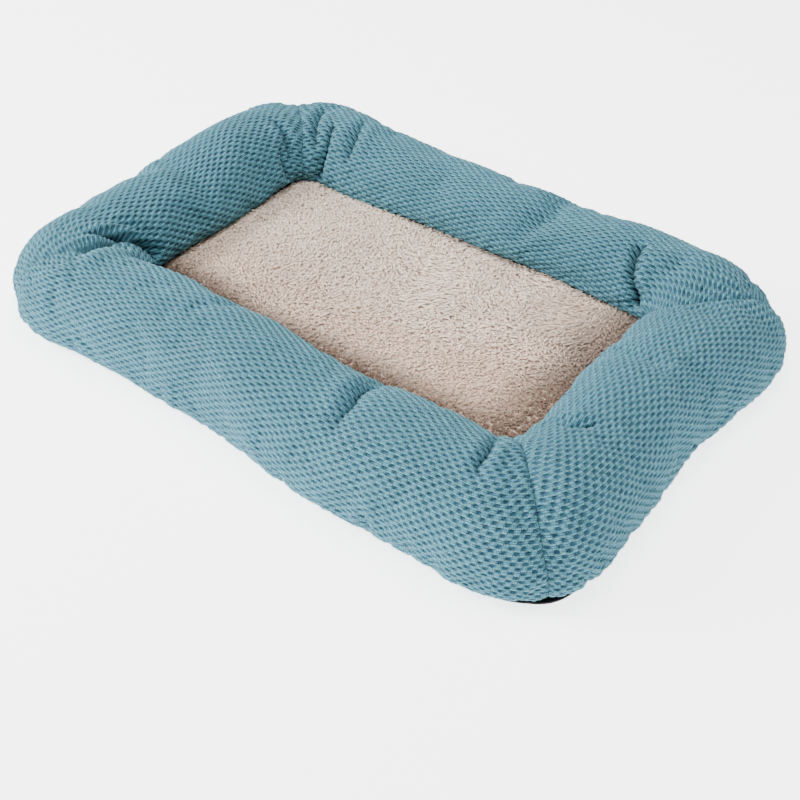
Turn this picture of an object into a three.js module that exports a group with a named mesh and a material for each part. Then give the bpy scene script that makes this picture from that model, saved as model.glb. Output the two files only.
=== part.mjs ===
// Pet cushion bed: a rectangular ring of four stuffed fabric bolsters, sewn together on the diagonal at each corner,
// round a fleece sleeping panel over a fibre pad, on a dark non-slip base panel. Millimetres, +Z up.
// Origin: middle of the underside. +X runs along the bed's length, +Y to the back bolster.
import * as THREE from "three";

// ---- driving dimensions ----
const LENGTH = 584; // outside, along X
const WIDTH = 430; // outside, along Y
const BOLSTER_W = 102; // width of one bolster
const BOLSTER_H = 78; // height of the crest above the floor
const BELLY_Z = 22; // height at which a bolster is widest
const FOOT_IN = 9; // how far the sewn foot of a bolster sits in from its widest line
const FOOT_Z = 4.2; // height of the cover's sewn lower edge
const ROUNDNESS = 2.25; // exponent of the bolster's section: 2 is an ellipse, more is squarer
const CORNER_R = 50; // corner radius of the bolsters' centre line
const CORNER_SPREAD = 0.62; // growth of the corner radius per mm outwards
const WAIST_LONG = 4; // pull-in of the long sides half way between the corners
const WAIST_SHORT = 2; // the same on the short sides
const WAIST_END = 31; // the waist dies out this far before the centre line's corner
const COVER_T = 1.4; // chenille cover thickness
const GAP = 0.3; // clearance between neighbouring pieces
const SEAM_W = 2.0; // width of a sewn seam
const SEAM_DEPTH = 3.0; // how deep a corner seam stands into the bolster
const BASE_T = 1.6; // base fabric thickness
const FLEECE_TOP = 32; // height of the fleece surface
const FLEECE_T = 7; // fleece with its pile
const INNER_SEAM_Z = 25.5; // lower edge of the inner line of stitching
const LONG_STEPS = 10; // stations along a long bolster's straight stretch
const SHORT_STEPS = 8; // stations along a short bolster's straight stretch
const CORNER_STEPS = 4; // stations on half a corner
const FOOT_STEPS = 2; // points on a bolster's section below its widest line
const ARCH_STEPS = 6; // points from the widest line up to the crest, and down to the well

// ---- colours ----
const TEAL = 0x7096a2;
const TEAL_DARK = 0x4a6b77;
const CREAM = 0xcbbeb5;
const FIBRE = 0xefefec;
const BASE = 0x231e20;

const HALF = BOLSTER_W / 2;
const HX = LENGTH / 2 - HALF; // half length and half width of the centre line
const HY = WIDTH / 2 - HALF;

const fabric = (color, roughness) =>
  new THREE.MeshStandardMaterial({ color, roughness, metalness: 0 });
const materials = {
  chenille: fabric(TEAL, 0.88),
  thread: fabric(TEAL_DARK, 0.8),
  fleece: fabric(CREAM, 0.98),
  fibre: fabric(FIBRE, 1.0),
  base: fabric(BASE, 0.85),
};

// ---- the ring's plan: a rounded rectangle at each offset from the bolsters' centre line ----

// The waist pulls the outside of each side inwards between the corners, and leaves the sleeping well straight.
function waist(x, y, nx, ny, offset) {
  const share = Math.max(0, Math.min(1, (offset + HALF) / (2 * HALF)));
  const wx = Math.max(0, 1 - (x / (HX - WAIST_END)) ** 2);
  const wy = Math.max(0, 1 - (y / (HY - WAIST_END)) ** 2);
  return [
    x - WAIST_SHORT * share * wy * Math.sign(nx) * nx * nx,
    y - WAIST_LONG * share * wx * Math.sign(ny) * ny * ny,
  ];
}

// Stations of one side, in the frame where that side faces -Y and runs along +X: from the corner's diagonal at the left
// to the one at the right. Each is a function from an offset to a plan point. trim is the distance kept to both diagonals.
function stations(halfLong, halfShort, steps, trim) {
  const list = [];
  const radius = (o) => CORNER_R + CORNER_SPREAD * o;
  const corner = (side, t) => (o) => {
    // t is 0 at the diagonal and 1 where the straight stretch starts
    const r = Math.max(radius(o), 1);
    const start = Math.PI / 4 - trim / r;
    const a = start * (1 - t);
    return {
      x: side * (halfLong + o - r + r * Math.sin(a)),
      y: -(halfShort + o - r + r * Math.cos(a)),
      nx: side * Math.sin(a),
      ny: -Math.cos(a),
    };
  };
  const straight = (t) => (o) => {
    const r = Math.max(radius(o), 1);
    return { x: (halfLong + o - r) * t, y: -(halfShort + o), nx: 0, ny: -1 };
  };
  for (let i = 0; i < CORNER_STEPS; i++) list.push(corner(-1, i / CORNER_STEPS));
  for (let i = 0; i <= steps; i++) list.push(straight(-1 + (2 * i) / steps));
  for (let i = CORNER_STEPS - 1; i >= 0; i--)
    list.push(corner(1, i / CORNER_STEPS));
  return list;
}

// Quarter turns that carry the side facing -Y to the other sides.
const SIDES = {
  front: { turn: 0, long: HX, short: HY, steps: LONG_STEPS },
  right: { turn: 1, long: HY, short: HX, steps: SHORT_STEPS },
  back: { turn: 2, long: HX, short: HY, steps: LONG_STEPS },
  left: { turn: 3, long: HY, short: HX, steps: SHORT_STEPS },
};
function quarter(x, y, turns) {
  for (let i = 0; i < turns; i++) [x, y] = [-y, x];
  return [x, y];
}

// Plan point of a station at an offset, on the finished ring.
function planPoint(side, station, offset) {
  const p = station(offset);
  const [x, y] = quarter(p.x, p.y, side.turn);
  const [nx, ny] = quarter(p.nx, p.ny, side.turn);
  return waist(x, y, nx, ny, offset);
}

// ---- bolster section: offset outwards and height, from the outer foot over the crest to the inner seam ----
const power = (v) => Math.sign(v) * Math.abs(v) ** (2 / ROUNDNESS);
const FOOT_ANGLE = -Math.acos(((HALF - FOOT_IN) / HALF) ** (ROUNDNESS / 2));
const SECTION_ANGLES = [
  ...Array.from({ length: FOOT_STEPS }, (_, i) => FOOT_ANGLE * (1 - i / FOOT_STEPS)),
  ...Array.from({ length: 2 * ARCH_STEPS + 1 }, (_, i) => (Math.PI * i) / (2 * ARCH_STEPS)),
];
const INNER_BASE = INNER_SEAM_Z + 6; // height at which the inner face turns upright
function sectionLine(inset) {
  const line = SECTION_ANGLES.map((a) => {
    const c = power(Math.cos(a));
    const s = power(Math.sin(a));
    const z =
      a < 0
        ? BELLY_Z + ((BELLY_Z - FOOT_Z) * s) / Math.abs(power(Math.sin(FOOT_ANGLE)))
        : a <= Math.PI / 2
          ? BELLY_Z + (BOLSTER_H - BELLY_Z) * s
          : INNER_BASE + (BOLSTER_H - INNER_BASE) * s;
    // the inset is square to an ellipse through the point
    const n = new THREE.Vector2(
      c / HALF,
      (a < 0 ? s * 0.4 : s) / (BOLSTER_H * 0.55),
    ).normalize();
    return new THREE.Vector2(c * HALF - inset * n.x, z - inset * n.y);
  });
  line[0].y = FOOT_Z;
  line[line.length - 1].y = INNER_SEAM_Z;
  return line;
}

// ---- solids from a closed section carried along the stations ----
function geometryOf(positions, faces) {
  const g = new THREE.BufferGeometry();
  g.setAttribute("position", new THREE.Float32BufferAttribute(positions, 3));
  g.setIndex(faces);
  const out = g.toNonIndexed();
  out.computeVertexNormals();
  return out;
}

function sweep(rings, closed, section) {
  // rings: one list of [x, y, z] per station, all following section; section turns anticlockwise in (offset, z)
  const n = rings[0].length;
  const positions = rings.flat(2);
  const faces = [];
  const count = rings.length;
  for (let i = 0; i < (closed ? count : count - 1); i++) {
    const a = i * n;
    const b = ((i + 1) % count) * n;
    for (let j = 0; j < n; j++) {
      const k = (j + 1) % n;
      faces.push(a + j, b + j, b + k, a + j, b + k, a + k);
    }
  }
  if (!closed) {
    for (const [p, q, r] of THREE.ShapeUtils.triangulateShape(section, [])) {
      faces.push(p, q, r);
      const m = (count - 1) * n;
      faces.push(m + p, m + r, m + q);
    }
  }
  return geometryOf(positions, faces);
}

function alongSide(name, trim, section) {
  const side = SIDES[name];
  const rings = stations(side.long, side.short, side.steps, trim).map((s) =>
    section.map((p) => [...planPoint(side, s, p.x), p.y]),
  );
  return sweep(rings, false, section);
}

function roundTheRing(section) {
  const rings = [];
  for (const name of ["front", "right", "back", "left"]) {
    const side = SIDES[name];
    const list = stations(side.long, side.short, side.steps, 0);
    list.pop(); // the next side starts on the same diagonal
    for (const s of list)
      rings.push(section.map((p) => [...planPoint(side, s, p.x), p.y]));
  }
  return sweep(rings, true, section);
}

// A flat panel whose edge follows the ring at an offset.
function panel(offset, z0, z1) {
  const rim = [];
  for (const name of ["front", "right", "back", "left"]) {
    const side = SIDES[name];
    const list = stations(side.long, side.short, side.steps, 0);
    list.pop();
    for (const s of list) rim.push(planPoint(side, s, offset));
  }
  const shape = new THREE.Shape(rim.map(([x, y]) => new THREE.Vector2(x, y)));
  const g = new THREE.ExtrudeGeometry(shape, {
    depth: z1 - z0,
    bevelEnabled: false,
  });
  g.translate(0, 0, z0);
  return g;
}

// ---- the pieces ----
const bed = new THREE.Group();
function add(name, geometry, material) {
  const mesh = new THREE.Mesh(geometry, material);
  mesh.name = name;
  bed.add(mesh);
}

const outer = sectionLine(0);
const lining = sectionLine(COVER_T);
const coverSection = [...outer, ...lining.slice().reverse()];

const packed = sectionLine(COVER_T + GAP);
const fillFoot = BASE_T + GAP;
const fillEdge = outer[0].x - SEAM_W - 2 * GAP - 0.6; // the fill stops short of the outer seam
const fillSection = [
  new THREE.Vector2(fillEdge, fillFoot),
  new THREE.Vector2(fillEdge, FOOT_Z + GAP),
  ...packed.slice(1),
  new THREE.Vector2(packed[packed.length - 1].x, fillFoot),
];

const coverTrim = SEAM_W / 2 + GAP;
for (const name of Object.keys(SIDES)) {
  add("bolster_cover_" + name, alongSide(name, coverTrim, coverSection), materials.chenille);
  add("bolster_fill_" + name, alongSide(name, coverTrim, fillSection), materials.fibre);
}

// Corner seams: a band on the diagonal, following the covers' section.
const seamSection = [
  ...outer,
  ...sectionLine(SEAM_DEPTH).reverse(),
];
const CORNERS = {
  front_right: ["front", 1, -1],
  back_right: ["right", 1, 1],
  back_left: ["back", -1, 1],
  front_left: ["left", -1, -1],
};
for (const [name, [side, sx, sy]] of Object.entries(CORNERS)) {
  const s = SIDES[side];
  const end = stations(s.long, s.short, s.steps, 0).pop();
  // square to the diagonal, turning anticlockwise round the bed
  const across = new THREE.Vector2(-sy, sx).multiplyScalar(SEAM_W / 2 / Math.SQRT2);
  const ring = (k) =>
    seamSection.map((p) => {
      const [x, y] = planPoint(s, end, p.x);
      return [x + k * across.x, y + k * across.y, p.y];
    });
  add("corner_seam_" + name, sweep([ring(-1), ring(1)], false, seamSection), materials.thread);
}

// Base, pad and fleece, and the two lines of stitching that go all round.
const rect = (x0, x1, z0, z1) => [
  new THREE.Vector2(x0, z0),
  new THREE.Vector2(x1, z0),
  new THREE.Vector2(x1, z1),
  new THREE.Vector2(x0, z1),
];
const footOffset = outer[0].x;
add("base_panel", panel(footOffset - 0.4, 0, BASE_T), materials.base);
add(
  "outer_seam",
  roundTheRing(rect(footOffset - 2.4, footOffset - 0.2, BASE_T + GAP, FOOT_Z - GAP)),
  materials.thread,
);
const wellOffset = -HALF - GAP;
add("inner_seam", roundTheRing(rect(-HALF - GAP - SEAM_W, wellOffset, INNER_SEAM_Z, INNER_SEAM_Z + 4)), materials.thread);
add("sleeping_panel", panel(wellOffset - SEAM_W - GAP, FLEECE_TOP - FLEECE_T, FLEECE_TOP), materials.fleece);
add("pad_fill", panel(wellOffset - GAP, BASE_T + GAP, FLEECE_TOP - FLEECE_T - GAP), materials.fibre);

export default bed;
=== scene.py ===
import math

import bpy
import numpy as np
from mathutils import Matrix, Vector


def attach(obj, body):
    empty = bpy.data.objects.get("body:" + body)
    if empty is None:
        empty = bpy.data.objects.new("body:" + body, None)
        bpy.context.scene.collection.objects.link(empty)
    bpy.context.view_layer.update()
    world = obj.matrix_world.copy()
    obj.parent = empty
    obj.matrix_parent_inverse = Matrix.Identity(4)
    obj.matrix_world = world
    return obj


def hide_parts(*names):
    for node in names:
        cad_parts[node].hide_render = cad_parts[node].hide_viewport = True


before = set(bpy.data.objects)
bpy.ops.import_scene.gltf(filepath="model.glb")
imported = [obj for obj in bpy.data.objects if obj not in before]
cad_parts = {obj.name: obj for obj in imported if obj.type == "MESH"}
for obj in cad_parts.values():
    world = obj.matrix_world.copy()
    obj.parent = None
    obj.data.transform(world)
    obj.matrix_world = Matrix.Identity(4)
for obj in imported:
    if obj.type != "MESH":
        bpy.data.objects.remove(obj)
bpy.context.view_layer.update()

RNG = np.random.default_rng(11)
MM = 0.001

# ------------------------------------------------------------------ numbers of the bed, in mm
LONG, WIDE, BOLSTER = 584.0, 430.0, 102.0
HALF = BOLSTER / 2
HX, HY = LONG / 2 - HALF, WIDE / 2 - HALF
CR, CS = 50.0, 0.62
SIDES = ["front", "right", "back", "left"]
CELL_U = 5.15                         # pitch of the woven cells along a panel
CELL_WS = (3.15, 3.3, 3.5, 3.4)        # and across it: the stuffing stretches the four panels differently
DU = CELL_U / 4
SEC = np.array([(42, 4.0), (49.5, 12), (51, 24), (48.2, 44), (37.5, 64), (20, 75.6), (0, 79), (-20, 76),
                (-37, 66), (-48, 52), (-52.5, 41), (-51, 32), (-46.5, 26)], float)
UNDER = np.array([(-46.5, 26), (-47.2, 21), (-46.8, 15), (-44, 8), (-39, 4.4), (-30, 3.2), (-16, 2.9), (0, 2.8),
                  (16, 2.8), (30, 2.9), (38, 3.2), (42, 4.0)], float)
KNOT = {
    "A": [-4.9, -14.7, -17.3, -14.9, -13.4, -6.7, 0.7, 1.3, 1.2, 9.8, 7.1, 2.6, -2.8, 1.1, 6.8, -2.6, -7.0, -6.4, -6.7,
          -6.1, -6.3, -6.3, -4.3, -2.5, -0.3, 2.9, 4.2, 2.2, 1.1, -0.5],
    "C": [-3.1, -4.2, -2.9, -1.4, -0.2, -0.6, 0.1, 1.4, -0.7, -1.4, 2.2, 3.7, 1.0, -1.5, -6.1, -9.0, -6.4, -3.9, -6.3,
          -7.0, -6.0, -4.9, -3.2, -2.3, -1.1, 3.4, 5.0, 0.8, -0.2, -0.8],
    "H": [2.2, 3.9, 3.3, 1.6, 0.4, -0.0, 0.1, 3.4, 5.5, 6.2, 3.1, 0.1, -2.3, -6.6, -10.2, -12.3, -8.7, -10.2, -15.7,
          -11.7, -10.8, -11.5, -10.5, -8.3, -6.3, 0.9, 4.8, 1.0, 1.1, 2.1],
    "I": [-2.4, -5.7, -6.7, -5.0, -2.1, -0.8, -0.4, -1.1, -1.9, 0.6, 5.4, 4.4, 0.5, 0.9, -0.4, -1.3, -1.1, 0.9, 2.8,
          2.2, 2.8, 0.3, -1.6, 0.2, 1.9, 4.5, 2.1, 2.1, 2.8, 0.9],
    "Z": [2.2, 2.3, 1.3, 0.3, 0.6, 0.6, 0.2, 0.2, -0.2, -0.4, -1.7, -0.8, 0.8, -0.7, -0.8, -0.3, 0.5, 1.6, 2.1, 1.5,
          0.3, 1.8, -2.1, -2.1, -0.8, 2.5, 0.6, 0.5, 1.7, 2.1],
}
KNOT = {k: np.array(v) for k, v in KNOT.items()}
KN = np.concatenate([i + np.arange(n) / n for i, n in enumerate((9, 6, 9, 6))])


def smooth(x):
    x = np.clip(x, 0, 1)
    return x * x * (3 - 2 * x)


def catmull(p, n):
    p = np.vstack([2 * p[0] - p[1], p, 2 * p[-1] - p[-2]])
    out = []
    for i in range(1, len(p) - 2):
        t = np.linspace(0, 1, n, endpoint=False)[:, None]
        a, b, c, d = p[i - 1], p[i], p[i + 1], p[i + 2]
        out.append(0.5 * (2 * b + (c - a) * t + (2 * a - 5 * b + 4 * c - d) * t**2 + (3 * b - a - 3 * c + d) * t**3))
    return np.vstack(out + [p[-2][None]])


def lengths(p):
    return np.r_[0, np.cumsum(np.linalg.norm(np.diff(p, axis=0), axis=1))]


OVER, BELOW = catmull(SEC, 24), catmull(UNDER, 10)
OVER_D, BELOW_D = lengths(OVER), lengths(BELOW)
SECLEN, BELOWLEN = OVER_D[-1], BELOW_D[-1]
VB, VC = OVER_D[2 * 24] / SECLEN, OVER_D[6 * 24] / SECLEN


def knots(key, q):
    q = np.asarray(q) % 4.0
    k, val = np.r_[KN, 4.0], np.r_[KNOT[key], KNOT[key][0]]
    h = np.diff(k)
    d = np.diff(val) / h
    dm, hm = np.r_[d[-1], d[:-1]], np.r_[h[-1], h[:-1]]
    m = (dm * h + d * hm) / (h + hm)
    m = np.r_[m, m[0]]
    i = np.clip(np.searchsorted(k, q, side="right") - 1, 0, len(h) - 1)
    u = (q - k[i]) / h[i]
    return (val[i] * (1 + 2 * u) * (1 - u) ** 2 + val[i + 1] * u * u * (3 - 2 * u)
            + m[i] * h[i] * u * (1 - u) ** 2 - m[i + 1] * h[i] * u * u * (1 - u))


def plan(q, o):
    """The point of the ring at q (0 to 4 round the bed) and offset o from the bolster's middle line, and its normal."""
    q, o = np.broadcast_arrays(np.asarray(q, float) % 4.0, np.asarray(o, float))
    side = np.minimum(q.astype(int), 3)
    t = 2 * (q - side) - 1
    flip = side % 2 == 1
    hl, hs = np.where(flip, HY, HX), np.where(flip, HX, HY)
    r = np.maximum(CR + CS * o, 1.0)
    arc = CR * math.pi / 4
    hc = arc / (arc + hl - CR)
    a, sg = np.abs(t), np.where(t < 0, -1.0, 1.0)
    ang = np.where(a > 1 - hc, (a - (1 - hc)) / hc * math.pi / 4, 0.0)
    x = sg * ((hl + o - r) * np.minimum(a / (1 - hc), 1.0) + r * np.sin(ang))
    y = -(hs + o - r + r * np.cos(ang))
    nx, ny = sg * np.sin(ang), -np.cos(ang)
    c, s = np.array([1, 0, -1, 0.0])[side], np.array([0, 1, 0, -1.0])[side]
    return c * x - s * y, s * x + c * y, c * nx - s * ny, s * nx + c * ny


LUMPS = []
for wave, size in ((150, 1.0), (105, 0.9), (74, 0.6), (52, 0.4), (36, 0.3)):
    for _ in range(5):
        d = RNG.normal(size=3)
        LUMPS.append((d / np.linalg.norm(d) * 2 * math.pi / wave * RNG.uniform(0.85, 1.2), RNG.uniform(0, 6.28), size * 0.42))


def lumps(p):
    return sum(np.sin(p @ k + ph) * a for k, ph, a in LUMPS)


def tube(q, v):
    """The plain stuffed tube: q round the bed, v from the outer foot over the crest (0 to 1) and back below (1 to 2)."""
    q, v = np.broadcast_arrays(np.asarray(q, float), np.asarray(v, float))
    top, va = v <= 1, np.minimum(v, 1)
    s = np.clip(v - 1, 0, 1)
    o = np.where(top, np.interp(va * SECLEN, OVER_D, OVER[:, 0]), np.interp(s * BELOWLEN, BELOW_D, BELOW[:, 0]))
    z = np.where(top, np.interp(va * SECLEN, OVER_D, OVER[:, 1]), np.interp(s * BELOWLEN, BELOW_D, BELOW[:, 1]))
    a, c, h, i, zz = (knots(k, q) for k in "ACHIZ")
    wa = np.where(va < VB, 0.85 + 0.15 * smooth(va / VB), smooth((VC - va) / (VC - VB)))
    wc = np.where(va < VC, smooth((va - VB * 0.6) / (VC - VB * 0.6)), smooth((1 - va) / (1 - VC)))
    wi = smooth((va - VC) / (1 - VC))
    d = np.where(top, a * wa + c * wc + i * wi, i * (1 - smooth(s)) + 0.85 * a * smooth(s))
    z = z + np.where(top, h * wc + zz * wi, zz * (1 - smooth(s * 3)))
    x, y, nx, ny = plan(q, o)
    return np.stack([x + nx * d, y + ny * d, z], -1)


def base(q, v):
    """The stuffed tube with its soft unevenness, and the outward normal."""
    e = 1e-3
    p = tube(q, v)
    n = np.cross(tube(np.asarray(q) + e, v) - tube(np.asarray(q) - e, v),
                 tube(q, np.clip(v + e, 0, 2)) - tube(q, np.clip(v - e, 0, 2)))
    n /= np.maximum(np.linalg.norm(n, axis=-1, keepdims=True), 1e-12)
    fade = smooth(np.minimum(v, 1) / 0.12) * smooth((1 - np.minimum(v, 1)) / 0.08)
    return p + n * (lumps(p) * fade)[..., None], n


# ------------------------------------------------------------------ where the four panels are sewn together
# the seam's place q as a function of v at each corner, as an offset from the corner's diagonal
SEAM_V = {
    0: [(0, 0), (0.35, 0.02), (0.5, 0.035), (0.561, 0.033), (0.622, 0.016), (0.68, 0.0), (0.725, -0.035), (0.77, -0.075),
        (0.82, -0.103), (0.87, -0.117), (0.93, -0.135), (1, -0.11)],
    1: [(0, 0.022), (0.133, 0.021), (0.228, 0.0145), (0.35, 0.0105), (0.5, 0.0125), (0.578, 0.0165), (0.683, 0.027),
        (0.85, 0.02), (1, 0.004)],
    2: [(0, 0), (0.25, 0), (0.394, -0.031), (0.589, -0.084), (0.70, -0.125), (0.767, -0.142), (0.83, -0.10), (0.906, 0.0),
        (1, 0.0)],
    3: [(0, 0), (0.6, 0.008), (0.694, 0.0105), (0.85, 0.0395), (0.967, 0.05), (1, 0.045)],
}


def seam_q(corner, v):
    a = np.array(SEAM_V[corner % 4])
    v = np.asarray(v, float)
    top = np.interp(np.minimum(v, 1), a[:, 0], a[:, 1])
    k = np.array([0.25, 0.5, 0.25])
    fine = np.linspace(0, 1, 201)
    y = np.interp(fine, a[:, 0], a[:, 1])
    for _ in range(60):
        y[1:-1] = y[:-2] * k[0] + y[1:-1] * k[1] + y[2:] * k[2]
    top = np.interp(np.minimum(v, 1), fine, y)
    s = smooth(np.clip(v - 1, 0, 1))
    return corner + np.where(v <= 1, top, a[-1, 1] * (1 - s) + a[0, 1] * s)


def on(side, t, v):
    return SIDES.index(side) + (t + 1) / 2, v


# ------------------------------------------------------------------ folds, tucks and dents of the cloth
# pts (side, t, v); depth and width of the valley, the rolls beside it (left, right of its direction) and how far they
# lean over it; dark and the band width set the painted shade along the valley
FOLDS = [
    # the tuck beside the near corner's seam
    dict(pts=[("front", .935, .70), ("front", .915, .64), ("front", .896, .561), ("front", .875, .494), ("front", .883, .42)],
         depth=6.5, width=4.5, left=1.5, right=1.5, roll=9, lean=(0.6, 1.2), taper=(.3, .45)),
    # the dent across the near long side
    dict(pts=[("front", .46, .76), ("front", .41, .70), ("front", .387, .62), ("front", .390, .53), ("front", .386, .44), ("front", .383, .33)],
         depth=7.5, width=6.5, left=0.5, right=2.2, roll=15, lean=(0.4, 1.2), taper=(.35, .5), dark=.55, band=3.2),
    # the deep fold of the left corner, and the ridge above it
    dict(pts=[("front", -.85, .455), ("front", -.86, .51), ("front", -.868, .575), ("front", -.90, .635), ("front", -.945, .69), ("left", .975, .735), ("left", .89, .770), ("left", .805, .820), ("left", .765, .872), ("left", .72, .94)],
         depth=19.0, width=6.5, left=0.5, right=4.0, roll=13, lean=(0.0, 7.0), taper=(.22, .10), dark=1.0, band=2.6),
    dict(pts=[("front", -.90, .53), ("front", -.93, .585), ("front", -.955, .64), ("front", -.99, .69), ("left", .93, .735)],
         depth=6.5, width=6.0, left=0, right=0, roll=9, lean=(0, 0), taper=(.35, .35), soft=1, dark=.7, band=5.5),
    dict(pts=[("left", .935, .56), ("left", .912, .635), ("left", .86, .70), ("left", .825, .765), ("left", .778, .835)],
         depth=6.5, width=4.0, left=2.6, right=1.8, roll=8, lean=(2.5, 0.5), taper=(.3, .3), dark=.7, band=1.8),
    dict(pts=[("left", .78, .64), ("left", .71, .68), ("left", .68, .74), ("left", .672, .80)],
         depth=2.2, width=5.0, left=1.2, right=1.0, roll=9, lean=(0.8, 0.5), taper=(.35, .4)),
    # pleats gathered into the back left corner
    dict(pts=[("left", -.75, .57), ("left", -.80, .68), ("left", -.775, .80), ("left", -.74, .88)],
         depth=6.5, width=3.8, left=1.6, right=1.8, roll=9, lean=(0.8, 1.2), taper=(.35, .3)),
    dict(pts=[("left", -.72, .72), ("left", -.685, .83), ("left", -.69, .95)],
         depth=5.5, width=3.6, left=1.3, right=1.5, roll=8, lean=(0.8, 1.0), taper=(.4, .2)),
    dict(pts=[("back", .90, .45), ("back", .925, .58), ("back", .935, .72), ("back", .95, .83)],
         depth=7.0, width=3.6, left=1.8, right=1.5, roll=9, lean=(1.2, 0.8), taper=(.35, .3)),
    dict(pts=[("back", .835, .58), ("back", .842, .68), ("back", .854, .78), ("back", .90, .90), ("back", .92, .96)],
         depth=13.0, width=5.0, left=2.0, right=3.2, roll=10, lean=(1.0, 4.0), taper=(.3, .12)),
    dict(pts=[("back", .72, .44), ("back", .705, .58), ("back", .70, .70), ("back", .705, .84)],
         depth=6.0, width=4.5, left=1.8, right=1.5, roll=11, lean=(1.0, 0.6), taper=(.4, .35)),
    # the slit and the shallow valley beside the back right corner
    dict(pts=[("back", -.665, .56), ("back", -.69, .635), ("back", -.728, .711), ("back", -.768, .783), ("back", -.83, .85), ("back", -.89, .93)],
         depth=17.0, width=4.8, left=2.8, right=1.2, roll=9, lean=(3.2, 0.4), taper=(.20, .12), dark=1.0, band=3.2),
    dict(pts=[("back", -.80, .50), ("back", -.85, .62), ("back", -.90, .72)],
         depth=3.0, width=9.0, left=0.8, right=1.0, roll=16, lean=(0, 0), taper=(.4, .4)),
    # the pucker on the near short side
    dict(pts=[("right", -.70, .68), ("right", -.654, .66), ("right", -.588, .594), ("right", -.533, .556), ("right", -.47, .54)],
         depth=4.6, width=4.5, left=2.0, right=1.0, roll=11, lean=(1.3, 0), taper=(.35, .4), dark=.35, band=1.4),
    # broad soft dents
    dict(pts=[("right", .05, .74), ("right", .10, .60), ("right", .13, .47)], depth=2.6, width=14, left=0, right=0, roll=24, lean=(0, 0), taper=(.4, .4), soft=1),
    dict(pts=[("back", .25, .46), ("back", .22, .62), ("back", .24, .82)], depth=1.8, width=17, left=0, right=0, roll=26, lean=(0, 0), taper=(.45, .45), soft=1),
    dict(pts=[("back", -.28, .40), ("back", -.25, .60), ("back", -.27, .84)], depth=2.6, width=15, left=.5, right=.5, roll=26, lean=(0, 0), taper=(.45, .45), soft=1),
    dict(pts=[("left", .1, .46), ("left", .05, .62), ("left", .08, .82)], depth=1.8, width=17, left=0, right=0, roll=26, lean=(0, 0), taper=(.45, .45), soft=1),
    # small pinches over the foot
    dict(pts=[("front", -.735, .125), ("front", -.688, .083), ("front", -.63, .06)], depth=6.0, width=5.0, left=2.5, right=0, roll=9, lean=(2.5, 0), taper=(.3, .4)),
    dict(pts=[("right", -.02, .13), ("right", .079, .083), ("right", .19, .06)], depth=4.0, width=5.0, left=1.5, right=0, roll=9, lean=(1.5, 0), taper=(.3, .4)),
]
for n, q0 in enumerate((.62, .78, .90, 1.08, 1.22, 1.36, 1.70, 1.86, 2.1, 2.3, 2.52, 2.7, 2.9, 3.12, 3.3, 3.5, 3.7, 3.88, .04, .34)):
    s, t = SIDES[int(q0)], 2 * (q0 % 1) - 1
    FOLDS.append(dict(pts=[(s, t - .004, .16), (s, t, .09), (s, t + .006, .02)], depth=2.2 + 1.2 * math.sin(n * 2.3), width=5 + math.sin(n * 1.7),
                      left=0.8, right=0.8, roll=11, lean=(0.4, 0.4), taper=(.45, .05)))


def dense(p, step):
    d = lengths(p)
    return np.stack([np.interp(np.linspace(0, d[-1], max(4, int(d[-1] / step))), d, p[:, k]) for k in range(3)], 1)


def fold_line(f):
    q = np.array([on(*p) for p in f["pts"]])
    q[:, 0] = np.unwrap(q[:, 0], period=4)
    fine = catmull(q, 8)
    p, _ = base(fine[:, 0], fine[:, 1])
    return dense(p, 1.5)


for f in FOLDS:
    f["line"] = fold_line(f)


def folded(p, n):
    """The move that the folds give to the cloth at the points p with the normals n, and how much painted shade each
    point gets in a crease.
    """
    move, crease_shade = np.zeros_like(p), np.zeros(len(p))
    for f in FOLDS:
        line, reach = f["line"], max(3.2 * f["width"], 2.4 * f["roll"])
        near = np.flatnonzero(((p > line.min(0) - reach) & (p < line.max(0) + reach)).all(1))
        if not len(near):
            continue
        at = p[near]
        d2 = ((at[:, None] - line[None]) ** 2).sum(2)
        j = d2.argmin(1)
        d = np.sqrt(d2[np.arange(len(near)), j])
        keep = d < reach
        near, at, j, d = near[keep], at[keep], j[keep], d[keep]
        if not len(near):
            continue
        tangent = np.gradient(line, axis=0)
        tangent /= np.linalg.norm(tangent, axis=1, keepdims=True)
        nn = n[near]
        side = np.cross(tangent[j], nn)          # to the right of the fold's direction, seen from outside
        side /= np.maximum(np.linalg.norm(side, axis=1, keepdims=True), 1e-9)
        s = ((at - line[j]) * side).sum(1)
        right = s > 0
        x = j / (len(line) - 1)
        ta, tb = f["taper"]
        e = smooth(x / ta) * smooth((1 - x) / tb)
        end = np.sqrt(np.maximum(d * d - s * s, 0))
        e = e * np.exp(-(end / 6.0) ** 2)
        w, r = f["width"], f["roll"]
        valley = np.exp(-((s / w) ** 2)) if f.get("soft") else np.exp(-(np.maximum(np.sqrt(s * s + 0.6) - 0.7746, 0) / w) ** 1.15)
        roll = np.exp(-((np.abs(s) - r) / (0.55 * r)) ** 2) - math.exp(-1 / 0.3025) * np.exp(-(s / w) ** 2)
        lean = np.where(right, f["lean"][1], f["lean"][0]) * np.exp(-(s / (1.1 * r)) ** 2) * np.tanh(np.abs(s) / 1.2)
        lift = np.where(right, f["right"], f["left"]) * roll - f["depth"] * valley
        # a side that leans over the fold keeps its height close to the line
        lift += f["depth"] * valley * np.clip(np.where(right, f["lean"][1], f["lean"][0]) / 8.0, 0, 0.8) * smooth(np.abs(s) / 1.5)
        move[near] += (nn * lift[:, None] - side * (np.sign(s) * lean)[:, None]) * e[:, None]
        # painted shade along the valley: given by dark, else from the fold's depth
        shade_strength = f.get("dark", 0.0 if f.get("soft") or f["depth"] < 4 else min(0.75, f["depth"] / 11.0))
        band = f.get("band", 1.7)
        crease_shade[near] = np.maximum(crease_shade[near], shade_strength * np.exp(-(np.maximum(np.abs(s) - 0.4, 0) / band) ** 1.6) * smooth(e * 1.6))
    return move, crease_shade


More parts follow.
